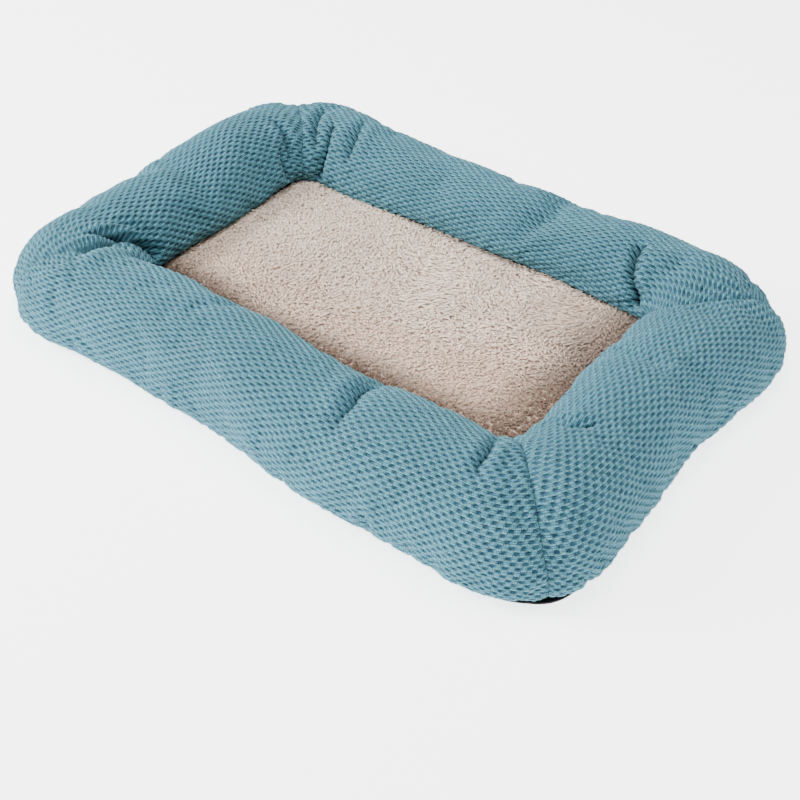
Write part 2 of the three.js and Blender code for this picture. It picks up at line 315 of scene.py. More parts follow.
# ------------------------------------------------------------------ meshes
def mesh_of(name, p, faces, uv=None, attrs=None, smooth_shade=True, body="root"):
    """p in mm; faces as an (n, 4) or (n, 3) array or a list of them."""
    groups = faces if isinstance(faces, list) else [faces]
    groups = [np.asarray(g, np.int64) for g in groups if len(g)]
    loops = np.concatenate([g.reshape(-1) for g in groups])
    counts = np.concatenate([np.full(len(g), g.shape[1]) for g in groups])
    starts = np.r_[0, np.cumsum(counts)[:-1]]
    me = bpy.data.meshes.new(name)
    me.vertices.add(len(p))
    me.vertices.foreach_set("co", (p * MM).astype(np.float32).ravel())
    me.loops.add(len(loops))
    me.loops.foreach_set("vertex_index", loops.astype(np.int32))
    me.polygons.add(len(counts))
    me.polygons.foreach_set("loop_start", starts.astype(np.int32))
    me.polygons.foreach_set("loop_total", counts.astype(np.int32))
    me.update(calc_edges=True)
    me.polygons.foreach_set("use_smooth", np.full(len(counts), smooth_shade))
    if uv is not None:
        lay = me.uv_layers.new(name="OFBake")
        per = uv if len(uv) == len(loops) else uv[loops]
        lay.data.foreach_set("uv", per.astype(np.float32).ravel())
    for k, a in (attrs or {}).items():
        kind = "FLOAT_VECTOR" if a.ndim == 2 else "FLOAT"
        at = me.attributes.new(name=k, type=kind, domain="POINT")
        at.data.foreach_set("vector" if a.ndim == 2 else "value", a.astype(np.float32).ravel())
    me.validate()
    o = bpy.data.objects.new(name, me)
    bpy.context.scene.collection.objects.link(o)
    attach(o, body)
    return o


def normals_of(p, faces):
    n = np.zeros_like(p)
    for g in faces:
        g = np.asarray(g)
        if not len(g):
            continue
        if g.shape[1] == 4:
            fn = np.cross(p[g[:, 2]] - p[g[:, 0]], p[g[:, 3]] - p[g[:, 1]])
        else:
            fn = np.cross(p[g[:, 1]] - p[g[:, 0]], p[g[:, 2]] - p[g[:, 0]])
        for c in range(g.shape[1]):
            for k in range(3):
                n[:, k] += np.bincount(g[:, c], fn[:, k], len(p))
    return n / np.maximum(np.linalg.norm(n, axis=1, keepdims=True), 1e-12)


def row_lengths(i, vs):
    """For panel i: the arc length along each row of v, as a function of q, zero at the panel's middle."""
    qf = np.linspace(i - 0.2, i + 1.2, 701)
    p = tube(qf[None, :], vs[:, None])
    u = np.concatenate([np.zeros((len(vs), 1)), np.cumsum(np.linalg.norm(np.diff(p, axis=1), axis=2), axis=1)], 1)
    mid = np.array([np.interp(i + 0.5, qf, r) for r in u])
    return qf, u - mid[:, None]


# the panels are gathered towards the near corner and the back left one
GATHER = {0: (1, 150.0), 1: (-1, 70.0), 2: (1, 185.0), 3: (-1, 105.0)}
TIGHT = 0.84


def to_cells(i, u):
    sg, at = GATHER.get(i, (1, 1e9))
    return np.where(sg * u > at, sg * (at + (sg * u - at) / TIGHT), u)


def from_cells(i, c):
    sg, at = GATHER.get(i, (1, 1e9))
    return np.where(sg * c > at, sg * (at + (sg * c - at) * TIGHT), c)


def panel(i, du, dw, under_rows):
    """A panel's grid of points: ids per row and column, and for each point q, v, u, w and its distance to the nearer sewn edge."""
    nv = int(round(SECLEN / dw))
    wide = dw * nv
    vs = np.r_[np.linspace(0, 1, nv + 1), 1 + np.arange(1, under_rows) / under_rows]
    qf, us = row_lengths(i, vs)
    qa, qb = seam_q(i, vs), seam_q(i + 1, vs)
    ua = np.array([np.interp(a, qf, r) for a, r in zip(qa, us)])
    ub = np.array([np.interp(b, qf, r) for b, r in zip(qb, us)])
    ca, cb = to_cells(i, ua), to_cells(i, ub)
    lo, hi = int(math.floor(ca.min() / du)), int(math.ceil(cb.max() / du))
    ks = np.arange(lo, hi + 1)
    ids = np.zeros((len(vs) + 1, len(ks)), np.int64)
    q, v, u, w, edge = [], [], [], [], []
    count = 0
    for j, vv in enumerate(vs):
        inside = (ks * du > ca[j] + 0.4 * du) & (ks * du < cb[j] - 0.4 * du)
        cc = np.r_[ca[j], ks[inside] * du, cb[j]]
        uu = from_cells(i, cc)
        n = len(uu)
        first = np.flatnonzero(inside)[0]
        row = np.full(len(ks), count)
        row[inside] = count + 1 + np.arange(n - 2)
        row[first + n - 2:] = count + n - 1
        ids[j] = row
        q.append(np.interp(uu, us[j], qf))
        v.append(np.full(n, vv))
        u.append(cc)
        w.append(np.full(n, min(vv, 1) * wide + max(vv - 1, 0) * BELOWLEN))
        edge.append(np.minimum(uu - ua[j], ub[j] - uu))
        count += n
    ids[-1] = ids[0]
    q, v, u, w, edge = map(np.concatenate, (q, v, u, w, edge))
    return dict(i=i, vs=vs, ks=ks, ids=ids, q=q, v=v, u=u, w=w, edge=edge, nv=nv, ua=ua, ub=ub, du=du)


def grid_faces(ids):
    a, b, c, d = ids[:-1, :-1], ids[:-1, 1:], ids[1:, 1:], ids[1:, :-1]
    f = np.stack([a, b, c, d], -1).reshape(-1, 4)
    cell = np.arange(len(f))
    ab, bc, cd, da = f[:, 0] == f[:, 1], f[:, 1] == f[:, 2], f[:, 2] == f[:, 3], f[:, 3] == f[:, 0]
    bad = ab.astype(int) + bc + cd + da
    quads, tri = f[bad == 0], []
    one = bad == 1
    for m, keep in ((ab, [0, 2, 3]), (bc, [0, 1, 3]), (cd, [0, 1, 2]), (da, [0, 1, 2])):
        tri.append(f[one & m][:, keep])
    tri = np.concatenate(tri) if tri else np.zeros((0, 3), int)
    ok = (tri[:, 0] != tri[:, 1]) & (tri[:, 1] != tri[:, 2]) & (tri[:, 0] != tri[:, 2])
    return quads, tri[ok]


def simulate(i, coarse, rest, pins):
    """A short cloth simulation of one stuffed panel: slack cloth under an inner pressure, sewn edges held."""
    quads, tri = grid_faces(coarse["ids"])
    me = bpy.data.meshes.new("sim")
    me.from_pydata((rest * MM).tolist(), [], [list(map(int, f)) for f in quads] + [list(map(int, f)) for f in tri])
    me.update()
    o = bpy.data.objects.new("sim", me)
    bpy.context.scene.collection.objects.link(o)
    g = o.vertex_groups.new(name="pin")
    for k in np.flatnonzero(pins > 0.02):
        g.add([int(k)], float(min(pins[k], 1)), "REPLACE")
    m = o.modifiers.new("cloth", "CLOTH")
    s = m.settings
    s.quality, s.mass = 6, 0.25
    s.tension_stiffness = s.compression_stiffness = 22
    s.shear_stiffness, s.bending_stiffness = 10, 0.35
    s.use_pressure, s.uniform_pressure_force = True, 4.0
    s.vertex_group_mass = "pin"
    s.pin_stiffness = 6.0
    s.shrink_min = -0.045
    s.effector_weights.gravity = 0
    m.collision_settings.use_collision = False
    m.point_cache.frame_start, m.point_cache.frame_end = 1, 18
    scene = bpy.context.scene
    for f in range(1, 19):
        scene.frame_set(f)
    e = o.evaluated_get(bpy.context.evaluated_depsgraph_get())
    out = np.zeros(len(me.vertices) * 3, np.float32)
    e.data.vertices.foreach_get("co", out)
    out = out.reshape(-1, 3).astype(float) / MM
    scene.frame_set(1)
    bpy.data.objects.remove(o)
    bpy.data.meshes.remove(me)
    return out


def spread_rows(fine, coarse, move):
    """The coarse grid's moves at the fine grid's points, by u and row."""
    out = np.zeros((len(fine["q"]), 3))
    rows_v, ids, ks, du = coarse["vs"], coarse["ids"][:-1], coarse["ks"], coarse["du"]
    table = move[ids]                                     # row, column, xyz
    # let the table run smoothly over the columns
    x = np.clip(fine["u"] / du - ks[0], 0, len(ks) - 1.001)
    y = np.interp(fine["v"], rows_v, np.arange(len(rows_v)))
    y = np.clip(y, 0, len(rows_v) - 1.001)
    x0, y0 = x.astype(int), y.astype(int)
    fx, fy = smooth(x - x0) * 0.5 + (x - x0) * 0.5, smooth(y - y0) * 0.5 + (y - y0) * 0.5
    out = (table[y0, x0] * ((1 - fx) * (1 - fy))[:, None] + table[y0, x0 + 1] * (fx * (1 - fy))[:, None]
           + table[y0 + 1, x0] * ((1 - fx) * fy)[:, None] + table[y0 + 1, x0 + 1] * (fx * fy)[:, None])
    return out


def shaped(g):
    """A panel's points with the folds in them."""
    p, n = base(g["q"], g["v"])
    move, g["crease_shade"] = folded(p, n)
    vis = np.minimum(g["v"], 1)
    floor = smooth((g["v"] <= 1) * vis / 0.10)
    hide = np.where(g["v"] > 1, 0.0, 1.0)
    p = p + move * (np.maximum(floor, 0.25) * hide)[:, None]
    # the sewn corner edges sink between the two panels
    d = g["edge"]
    groove = 3.6 * np.exp(-(d / 2.8)) + 1.6 * np.exp(-(d / 10.0))
    groove = groove * np.where(np.abs(g["q"] - 3) < 0.5, 0.5, 1.0)      # flatter at the back left
    p = p - n * (groove * smooth(vis / 0.1) * smooth((1.02 - vis) / 0.1) * hide)[:, None]
    return p, n


PANELS = {}


def build_panel(i):
    name = SIDES[i]
    cell_w = CELL_WS[i]
    g = panel(i, DU, cell_w / 3, 12)
    p, n = shaped(g)
    c = panel(i, CELL_U, 4.9, 6)
    rest, _ = shaped(c)
    vis = np.minimum(c["v"], 1)
    pins = np.maximum.reduce([1 - smooth(c["edge"] / 12.0), (c["v"] > 1) * 1.0, 1 - smooth(vis / 0.06),
                              1 - smooth((1 - vis) / 0.06)])
    out = simulate(i, c, rest, pins)
    move = out - rest
    size = np.linalg.norm(move, axis=1, keepdims=True)
    move = move * np.minimum(1, 3.5 / np.maximum(size, 1e-9))
    mean = np.linalg.norm(move, axis=1)
    print("cloth", name, "moved", round(float(mean.mean()), 2), "mm, most", round(float(size.max()), 2))
    move = np.nan_to_num(move)
    p = p + spread_rows(g, c, move) * 0.6
    quads, tri = grid_faces(g["ids"])
    # woven relief
    nn = normals_of(p, [quads, tri])
    across = g["w"] / cell_w + 0.5
    cu, cw = np.floor(g["u"] / CELL_U + 0.5), np.floor(across + 0.5)
    fx, fw = (g["u"] / CELL_U - cu) * 2, (across - cw) * 2
    rnd = np.modf(np.abs(np.sin(cu * 12.9898 + cw * 78.233 + i * 3.1) * 43758.5453))[0]
    odd = np.abs(np.mod(cu + cw, 2)) > 0.5
    rim = np.maximum(np.abs(fx), np.abs(fw))
    dome = 1.0 - 0.20 * np.abs(fw) ** 3 - 0.42 * np.abs(fx) ** 4
    sunk = np.maximum(0.80 * smooth((np.abs(fw) - 0.5) / 0.5), 0.58 * smooth((np.abs(fx) - 0.55) / 0.45))
    relief = np.where(odd, sunk, dome) * (1.65 + 0.3 * (rnd - 0.5)) - 0.95
    fade = np.where(g["v"] <= 1, 1.0, 0.0) * (0.35 + 0.65 * smooth(g["edge"] / 3.0))
    p = p + nn * (relief * fade)[:, None]
    p[:, 2] = np.maximum(p[:, 2], 2.3)
    # closed ends
    count = len(p)
    loops = [g["ids"][:-1, 0], g["ids"][:-1, -1]]
    centre = np.stack([p[l].mean(0) for l in loops])
    caps = []
    for k, l in enumerate(loops):
        nxt = np.roll(l, -1)
        c = np.full(len(l), count + k)
        caps.append(np.stack([c, l, nxt] if k == 1 else [c, nxt, l], 1))
    p = np.vstack([p, centre])
    faces = [quads, tri, *caps]
    # a flat layout for surface detail: the panel unrolled, and the two ends beside it
    u0, u1 = g["ks"][0] * DU, g["ks"][-1] * DU
    rows = len(g["vs"])
    uvp = np.zeros((count + 2, 2))
    uvp[:count, 0] = 0.004 + 0.992 * (g["u"] - u0) / (u1 - u0)
    uvp[:count, 1] = 0.055 + 0.94 * np.interp(g["v"], np.r_[g["vs"], 2.0], np.arange(rows + 1)) / rows
    uvp[:, 0] = np.clip(uvp[:, 0], 0, 1)
    uvs = []
    for gq in (quads, tri):
        l = uvp[gq.reshape(-1)].reshape(len(gq), -1, 2).copy()
        wrap = (l[..., 1].max(1) - l[..., 1].min(1)) > 0.5      # the last strip closes onto the first row
        sel = l[wrap]
        sel[..., 1] = np.where(sel[..., 1] < 0.3, 0.995, sel[..., 1])
        l[wrap] = sel
        uvs.append(l.reshape(-1, 2))
    for k, cap in enumerate(caps):
        m = len(cap)
        ang = np.arange(m) / m * 2 * math.pi
        ring = np.stack([0.15 + 0.4 * k + 0.1 * np.cos(ang), 0.026 + 0.022 * np.sin(ang)], 1)
        mid = np.tile([0.15 + 0.4 * k, 0.026], (m, 1))
        a, b = ring, np.roll(ring, -1, 0)
        uvs.append(np.stack([mid, a, b] if k == 1 else [mid, b, a], 1).reshape(-1, 2))
    weave = np.zeros((count + 2, 3))
    weave[:count] = np.stack([g["u"] / CELL_U, g["w"] / cell_w + 0.5, g["edge"]], 1)
    weave[:count, 0] += i * 200.0
    edge_shade = np.where(g["v"] <= 1, 0.85 * np.exp(-((1 - g["v"]) * SECLEN / 3.0) ** 1.5), 0.9)      # and painted shade where the cover dives under the pile
    crease_shade = np.r_[np.maximum(g["crease_shade"], edge_shade), 0.0, 0.0]
    o = mesh_of(f"bolster_{name}", p, faces, np.concatenate(uvs), {"weave": weave, "crease_shade": crease_shade})
    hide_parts(f"bolster_cover_{name}", f"bolster_fill_{name}")
    PANELS[i] = dict(g=g, p=p, obj=o)
    return o


# ------------------------------------------------------------------ materials
def new_material(name):
    m = bpy.data.materials.new(name)
    m.use_nodes = True
    t = m.node_tree
    t.nodes.clear()
    out = t.nodes.new("ShaderNodeOutputMaterial")
    b = t.nodes.new("ShaderNodeBsdfPrincipled")
    t.links.new(b.outputs[0], out.inputs[0])
    return m, t, b


class Nodes:
    def __init__(self, tree):
        self.t = tree

    def put(self, socket, value):
        if isinstance(value, bpy.types.NodeSocket):
            self.t.links.new(value, socket)
        else:
            socket.default_value = value

    def math(self, op, a, b=None, c=None, clamp=False):
        n = self.t.nodes.new("ShaderNodeMath")
        n.operation, n.use_clamp = op, clamp
        for s, x in zip(n.inputs, (a, b, c)):
            if x is not None:
                self.put(s, x)
        return n.outputs[0]

    def ramp(self, x, lo, hi, a=0.0, b=1.0, kind="SMOOTHSTEP"):
        n = self.t.nodes.new("ShaderNodeMapRange")
        n.interpolation_type = kind
        for s, y in zip(n.inputs, (x, lo, hi, a, b)):
            self.put(s, y)
        return n.outputs[0]

    def noise(self, vec, scale, detail=2.0, rough=0.5, out=0):
        n = self.t.nodes.new("ShaderNodeTexNoise")
        n.inputs["Scale"].default_value = scale
        n.inputs["Detail"].default_value = detail
        n.inputs["Roughness"].default_value = rough
        self.put(n.inputs["Vector"], vec)
        return n.outputs[out]

    def mix(self, f, a, b, kind="MIX"):
        n = self.t.nodes.new("ShaderNodeMix")
        n.data_type, n.blend_type = "RGBA", kind
        self.put(n.inputs[0], f)
        self.put(n.inputs[6], a)
        self.put(n.inputs[7], b)
        return n.outputs[2]

    def attr(self, name, out="Vector"):
        n = self.t.nodes.new("ShaderNodeAttribute")
        n.attribute_name = name
        return n.outputs[out]

    def coords(self):
        return self.t.nodes.new("ShaderNodeTexCoord").outputs["Object"]

    def split(self, v):
        n = self.t.nodes.new("ShaderNodeSeparateXYZ")
        self.put(n.inputs[0], v)
        return n.outputs

    def join(self, x, y, z):
        n = self.t.nodes.new("ShaderNodeCombineXYZ")
        for s, a in zip(n.inputs, (x, y, z)):
            self.put(s, a)
        return n.outputs[0]

    def bump(self, height, strength, distance, normal=None):
        n = self.t.nodes.new("ShaderNodeBump")
        n.inputs["Strength"].default_value = strength
        n.inputs["Distance"].default_value = distance
        self.put(n.inputs["Height"], height)
        if normal is not None:
            self.put(n.inputs["Normal"], normal)
        return n.outputs[0]


def lin(r, g, b):
    f = lambda c: (c / 255 / 12.92) if c / 255 <= 0.04045 else ((c / 255 + 0.055) / 1.055) ** 2.4
    return (f(r), f(g), f(b), 1.0)


def chenille():
    m, t, b = new_material("chenille")
    k = Nodes(t)
    uvw = k.attr("weave")
    x, y, z = k.split(uvw)
    wob = k.noise(uvw, 0.8, 2.0)
    wob2 = k.noise(k.join(y, x, 3.3), 0.8, 2.0)
    cx = k.math("ADD", x, k.math("MULTIPLY", k.math("SUBTRACT", wob, 0.5), 0.22))
    cy = k.math("ADD", y, k.math("MULTIPLY", k.math("SUBTRACT", wob2, 0.5), 0.22))
    ix, iy = k.math("FLOOR", k.math("ADD", cx, 0.5)), k.math("FLOOR", k.math("ADD", cy, 0.5))
    sx, sy = k.math("SUBTRACT", cx, ix), k.math("SUBTRACT", cy, iy)
    dx, dy = k.math("MULTIPLY", k.math("ABSOLUTE", sx), 2.0), k.math("MULTIPLY", k.math("ABSOLUTE", sy), 2.0)
    odd = k.math("FLOORED_MODULO", k.math("ADD", ix, iy), 2.0)
    even = k.math("SUBTRACT", 1.0, odd)
    sq = k.math("ADD", k.math("POWER", dx, 3.6), k.math("POWER", dy, 3.6))
    hole = k.math("MULTIPLY", odd, k.ramp(sq, 0.27, 0.70, 1.0, 0.0))
    pad = k.math("SUBTRACT", 1.0, hole)
    # painted highlight where loops of yarn catch the light along the long edges of each raised cell
    rim_highlight = k.math("MULTIPLY", k.ramp(dy, 0.52, 0.86), k.ramp(dx, 1.02, 0.7))
    # and painted shade darkens the gaps between neighbouring loops
    gap_shade = k.math("MULTIPLY", k.ramp(dx, 0.72, 0.96), k.ramp(dy, 1.02, 0.55))
    gap_shade = k.math("MAXIMUM", gap_shade, k.math("MULTIPLY", k.ramp(dx, 0.78, 1.0), k.ramp(dy, 0.72, 1.0)))
    # the raised cell above each sunk one shades it, on either side of the crest
    sf = k.math("MULTIPLY", sy, k.ramp(y, 0.5 * SECLEN / 3.3 - 5, 0.5 * SECLEN / 3.3 + 5, 1.0, -1.0))
    shade = k.math("MULTIPLY", hole, k.math("MAXIMUM", k.ramp(sf, 0.05, 0.32), k.math("MULTIPLY", k.ramp(sx, -0.10, -0.36), 0.8)))
    fine = k.noise(k.join(k.math("MULTIPLY", x, 3.2), k.math("MULTIPLY", y, 5.0), 0.0), 1.6, 4.0, 0.7)
    yarn = k.math("SINE", k.math("MULTIPLY", x, 2 * math.pi * 5.5))
    big = k.noise(k.coords(), 11.0, 3.0, 0.55)
    cell = k.noise(k.join(ix, iy, 0.5), 3.71, 0.0)
    light = k.mix(k.ramp(fine, 0.3, 0.72, 0.0, 0.75), PAD_HEART, PAD_DEEP)
    # each raised cell shows two or three loops side by side
    loops = k.ramp(k.math("SINE", k.math("MULTIPLY", k.math("ADD", cy, k.math("MULTIPLY", fine, 0.16)), 2 * math.pi * 2.5)), -0.7, 0.9)
    light = k.mix(k.math("MULTIPLY", loops, 0.50), light, PAD_RIM)
    light = k.mix(k.math("MULTIPLY", rim_highlight, 0.62), light, PAD_RIM)
    dark = k.mix(k.ramp(fine, 0.3, 0.72), RECESS, RECESS_LOW)
    dark = k.mix(k.math("MULTIPLY", shade, 0.85), dark, RECESS_DARK)
    col = k.mix(pad, dark, light)
    # painted shade in the gaps between loops
    col = k.mix(k.math("MULTIPLY", gap_shade, 0.75), col, RECESS_LOW)
    speck = k.noise(k.join(k.math("MULTIPLY", x, 5.0), k.math("MULTIPLY", y, 3.6), 7.7), 1.0, 2.0, 0.8)
    fuzz = k.ramp(speck, 0.32, 0.68, 0.55, 1.48, "LINEAR")
    col = k.mix(1.0, col, k.join(fuzz, fuzz, fuzz), "MULTIPLY")
    tone = k.math("MULTIPLY", k.ramp(big, 0.3, 0.7, 0.93, 1.06, "LINEAR"), k.ramp(cell, 0.25, 0.75, 0.92, 1.07, "LINEAR"))
    col = k.mix(1.0, col, k.join(tone, tone, tone), "MULTIPLY")
    # painted shade: what little light reaches the bottom of a fold, and where the cover dives under the pile
    col = k.mix(k.math("MULTIPLY", k.attr("crease_shade", "Fac"), 0.9), col, CREASE_SHADE)
    k.put(b.inputs["Base Color"], col)
    b.inputs["Roughness"].default_value = 0.92
    b.inputs["Specular IOR Level"].default_value = 0.18
    b.inputs["Sheen Weight"].default_value = 0.16
    b.inputs["Sheen Roughness"].default_value = 0.4
    b.inputs["Sheen Tint"].default_value = (0.70, 0.90, 1.0, 1.0)
    height = k.math("ADD", k.math("MULTIPLY", fine, 0.8), k.math("MULTIPLY", yarn, 0.12))
    height = k.math("ADD", height, k.math("MULTIPLY", speck, 0.6))
    height = k.math("ADD", height, k.math("MULTIPLY", pad, 0.8))
    height = k.math("ADD", height, k.math("MULTIPLY", loops, 0.35))
    height = k.math("SUBTRACT", height, k.math("MULTIPLY", gap_shade, 0.5))
    k.put(b.inputs["Normal"], k.bump(height, 0.8, 0.0009))
    return m


PAD_RIM, PAD_HEART, PAD_DEEP = (0.150, 0.385, 0.455, 1), (0.056, 0.175, 0.226, 1), (0.034, 0.118, 0.162, 1)
RECESS, RECESS_LOW, RECESS_DARK = (0.053, 0.158, 0.226, 1), (0.030, 0.100, 0.147, 1), (0.011, 0.031, 0.043, 1)
# colour of the painted shade in folds and where the cover dives under the pile
CREASE_SHADE = (0.012, 0.032, 0.042, 1)


def thread_material():
    m, t, b = new_material("seam_thread")
    k = Nodes(t)
    n = k.noise(k.coords(), 900.0, 3.0, 0.6)
    k.put(b.inputs["Base Color"], k.mix(k.ramp(n, 0.3, 0.7), lin(22, 58, 72), lin(44, 92, 108)))
    b.inputs["Roughness"].default_value = 0.7
    k.put(b.inputs["Normal"], k.bump(n, 0.4, 0.0003))
    return m


def fleece_material(lock):
    m, t, b = new_material("fleece_lock" if lock else "fleece_ground")
    k = Nodes(t)
    p = k.coords()
    big, mid = k.noise(p, 14.0, 3.0, 0.5), k.noise(p, 120.0, 3.0, 0.6)
    tip = k.split(k.attr("lock"))
    if lock:
        # painted shade in the pile: each lock darker towards its root and along its edges
        col = k.mix(k.ramp(tip[0], -0.25, 0.6), (0.45, 0.30, 0.215, 1), (1.0, 0.87, 0.73, 1))
        flank = k.math("ABSOLUTE", k.attr("side", "Fac"))
        col = k.mix(k.ramp(flank, 0.35, 1.0, 0.0, 0.62), col, (0.52, 0.355, 0.26, 1))
        # a random warmer tint per lock, and painted warm shade towards the near long and short sides
        col = k.mix(k.ramp(tip[1], 0.0, 1.7, 0.0, 0.95), col, k.mix(1.0, col, (0.90, 0.745, 0.665, 1), "MULTIPLY"))
        # painted shadow of the bolsters on the pile, and painted shade along the sewn edge
        col = k.mix(tip[2], col, k.mix(1.0, col, (0.17, 0.135, 0.115, 1), "MULTIPLY"))
    else:
        # painted shade between the locks: the backing is a darker beige
        col = k.mix(k.ramp(mid, 0.3, 0.7), (0.52, 0.37, 0.28, 1), (0.66, 0.50, 0.39, 1))
    tone = k.ramp(big, 0.3, 0.7, 0.94, 1.03, "LINEAR")
    col = k.mix(1.0, col, k.join(tone, tone, tone), "MULTIPLY")
    k.put(b.inputs["Base Color"], col)
    b.inputs["Roughness"].default_value = 0.95
    b.inputs["Specular IOR Level"].default_value = 0.12
    b.inputs["Sheen Weight"].default_value = 0.3
    b.inputs["Sheen Roughness"].default_value = 0.5
    k.put(b.inputs["Normal"], k.bump(k.noise(p, 1500.0, 3.0, 0.7), 0.5, 0.0005))
    return m


def fabric_material(name, c0, c1, scale=700.0, rough=0.9):
    m, t, b = new_material(name)
    k = Nodes(t)
    p = k.coords()
    x, y, z = k.split(p)
    w = k.math("MULTIPLY", k.math("SINE", k.math("MULTIPLY", x, 2 * math.pi / 0.0012)), k.math("SINE", k.math("MULTIPLY", y, 2 * math.pi / 0.0012)))
    n = k.noise(p, scale, 4.0, 0.6)
    f = k.math("ADD", k.math("MULTIPLY", w, 0.25), n)
    k.put(b.inputs["Base Color"], k.mix(k.ramp(f, 0.2, 0.85), c0, c1))
    b.inputs["Roughness"].default_value = rough
    b.inputs["Specular IOR Level"].default_value = 0.2
    k.put(b.inputs["Normal"], k.bump(f, 0.5, 0.0004))
    return m


# ------------------------------------------------------------------ build
MAT_COVER = chenille()
for i in range(4):
    build_panel(i).data.materials.append(MAT_COVER)

# ------------------------------------------------------------------ the sleeping panel: backing, pile, pad
WELL_X, WELL_Y = 187.4, 110.4
CORNER = 22.0
WQ = np.linspace(0, 4, 1440, endpoint=False)
WELL = tube(WQ, 1.0)[:, :2] - np.stack(plan(WQ, -46.5)[2:], 1) * 0.6
WELL_R = np.hypot(*WELL.T)
WELL_A = np.unwrap(np.arctan2(WELL[:, 1], WELL[:, 0]))


def well_radius(x, y):
    """How far the sewn edge is from the middle, in the direction of (x, y)."""
    a = (np.arctan2(y, x) - WELL_A[0]) % (2 * math.pi) + WELL_A[0]
    return np.interp(a, np.r_[WELL_A, WELL_A[0] + 2 * math.pi], np.r_[WELL_R, WELL_R[0]])


def edge_gap(x, y):
    """The distance in from the sewn edge, near enough."""
    r = np.hypot(x, y)
    f = np.clip(r / well_radius(x, y), 0, 1.05)
    return np.minimum(np.minimum(192.5 - np.abs(x), 115.5 - np.abs(y)), (1 - f) * well_radius(x, y))


def rounded(u, v, hx, hy, r):
    """Square (-1..1) to a rounded rectangle, by pulling the corners in."""
    x, y = u * hx, v * hy
    dx, dy = np.maximum(np.abs(x) - (hx - r), 0), np.maximum(np.abs(y) - (hy - r), 0)
    m = np.maximum(dx, dy)
    d = np.hypot(dx, dy)
    s = np.where(d > 1e-9, m / np.maximum(d, 1e-9), 1)
    return np.sign(x) * (np.minimum(np.abs(x), hx - r) + dx * s), np.sign(y) * (np.minimum(np.abs(y), hy - r) + dy * s)


def ground(x, y):
    """Height of the fleece's backing: gently domed, with soft unevenness, pulled down where it is sewn in."""
    e = np.maximum(edge_gap(x, y), 0)
    p = np.stack([x, y, np.zeros_like(x)], -1)
    soft = sum(np.sin(p @ (k * 1.1) + ph) * a for k, ph, a in LUMPS[:20]) * 0.45
    return 27.6 + 2.2 * smooth(e / 60.0) + soft * smooth(e / 30.0) + 0.9 * smooth(e / 9.0)


def slab(name, nx, ny, hx, hy, r, top, bottom, attrs=None):
    gx, gy = np.meshgrid(np.linspace(-1, 1, nx), np.linspace(-1, 1, ny))
    x, y = rounded(gx.ravel(), gy.ravel(), hx, hy, r)
    n = nx * ny
    p = np.vstack([np.stack([x, y, top(x, y)], 1), np.stack([x, y, bottom(x, y)], 1)])
    ids = np.arange(n).reshape(ny, nx)
    up = np.stack([ids[:-1, :-1], ids[:-1, 1:], ids[1:, 1:], ids[1:, :-1]], -1).reshape(-1, 4)
    down = (up + n)[:, ::-1]
    rim = np.concatenate([ids[0, :], ids[1:, -1], ids[-1, -2::-1], ids[-2:0:-1, 0]])
    nxt = np.roll(rim, -1)
    wall = np.stack([rim + n, nxt + n, nxt, rim], 1)
    uu, vv = (gx.ravel() + 1) / 2, (gy.ravel() + 1) / 2
    luv = [np.stack([0.01 + 0.97 * uu, 0.01 + 0.46 * vv], 1)[up.ravel()],
           np.stack([0.01 + 0.97 * uu, 0.51 + 0.44 * vv], 1)[(down - n).ravel()]]
    a = np.arange(len(rim)) / len(rim)
    b = (np.arange(len(rim)) + 1) / len(rim)
    luv.append(np.stack([np.stack([a, a * 0 + 0.965], 1), np.stack([b, a * 0 + 0.965], 1), np.stack([b, a * 0 + 0.995], 1),
                         np.stack([a, a * 0 + 0.995], 1)], 1).reshape(-1, 2))
    return mesh_of(name, p, [up, down, wall], np.concatenate(luv), attrs)


def disc(name, edge, zt, zb, rings):
    """A thin sheet inside the closed outline edge (n, 2)."""
    n = len(edge)
    k = np.linspace(0, 1, rings + 1)[1:] ** 0.8
    xy = np.concatenate([np.zeros((1, 2))] + [edge * f for f in k])
    m = len(xy)
    top = np.c_[xy, zt(xy[:, 0], xy[:, 1])]
    bot = np.c_[xy, zb(xy[:, 0], xy[:, 1])]
    i = np.arange(n)
    j = (i + 1) % n
    tri = np.stack([np.zeros(n, int), 1 + i, 1 + j], 1)
    quads = np.concatenate([np.stack([1 + r * n + i, 1 + (r + 1) * n + i, 1 + (r + 1) * n + j, 1 + r * n + j], 1) for r in range(rings - 1)])
    last = 1 + (rings - 1) * n
    wall = np.stack([last + i, last + i + m, last + j + m, last + j], 1)
    lo, hi = edge.min(0), edge.max(0)
    f = (xy - lo) / (hi - lo)
    a = np.c_[0.01 + 0.98 * f[:, 0], 0.01 + 0.46 * f[:, 1]]
    b = np.c_[0.01 + 0.98 * f[:, 0], 0.50 + 0.44 * f[:, 1]]
    e0, e1 = i / n, (i + 1) / n
    w = np.stack([np.c_[e0, e0 * 0 + 0.96], np.c_[e0, e0 * 0 + 0.995], np.c_[e1, e0 * 0 + 0.995], np.c_[e1, e0 * 0 + 0.96]], 1)
    uv = [a[tri.ravel()], a[quads.ravel()], b[tri[:, ::-1].ravel()], b[quads[:, ::-1].ravel()], w.reshape(-1, 2)]
    return mesh_of(name, np.vstack([top, bot]), [tri, quads, tri[:, ::-1] + m, quads[:, ::-1] + m, wall[:, ::-1]],
                   np.concatenate(uv[:4] + [w[:, ::-1].reshape(-1, 2)]))


